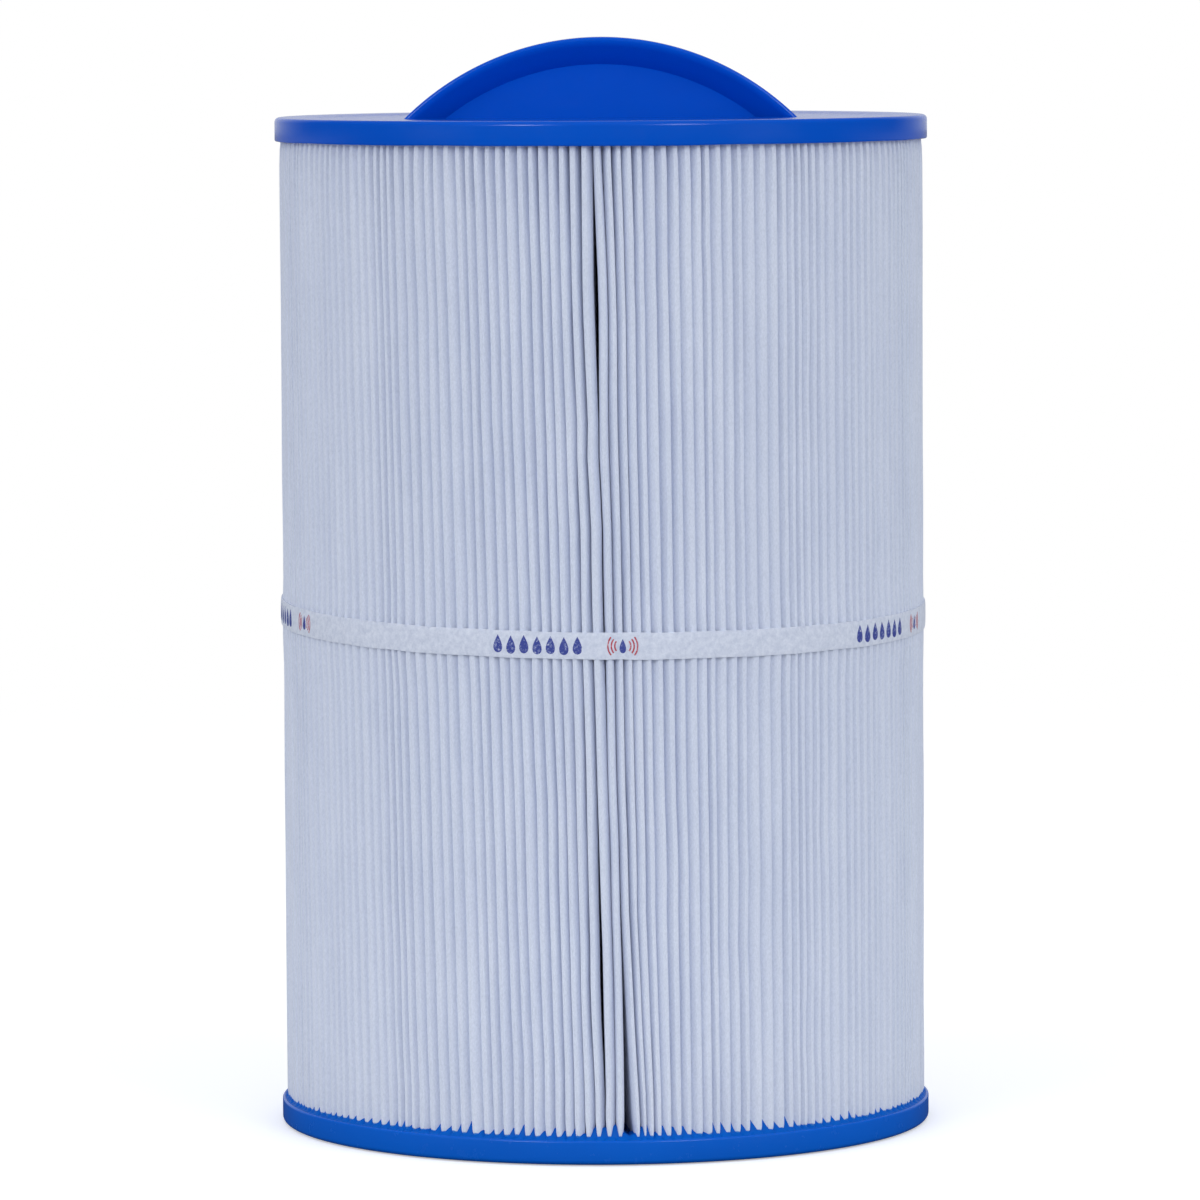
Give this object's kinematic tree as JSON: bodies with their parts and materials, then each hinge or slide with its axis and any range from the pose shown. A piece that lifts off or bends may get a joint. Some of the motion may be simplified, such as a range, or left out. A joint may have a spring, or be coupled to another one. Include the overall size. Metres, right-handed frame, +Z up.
{
  "type": "filter cartridge",
  "caption": "Pleated spa filter cartridge: folded media round a perforated core, cast end caps, a half-moon lifting grip on top, an outlet port below and a strap round the middle.",
  "frame": {"origin": "centre of the bottom end cap's lower face, on the cartridge's axis", "axes": "+Z up along the cartridge's axis towards the grip, X along the grip's arch, -Y towards the seam of the pleats"},
  "size_m": [0.1778, 0.1778, 0.2964],
  "materials": {
    "cap_polyurethane": "glossy cast blue polyurethane",
    "grip_plastic": "glossy moulded blue plastic",
    "filter_media": "white spunbond polyester, soft sheen",
    "strap_nonwoven": "white calendered nonwoven with blue and red print",
    "core_plastic": "off-white moulded plastic",
    "seam_adhesive": "cream hot-melt adhesive"
  },
  "bodies": {
    "root": {"top_end_cap": "cap_polyurethane", "grip": "grip_plastic", "pleat_pack": "filter_media", "pleat_seam": "seam_adhesive", "retaining_band": "strap_nonwoven", "core_upper": "core_plastic", "core_lower": "core_plastic", "bottom_end_cap": "cap_polyurethane"}
  },
  "joints": []
}
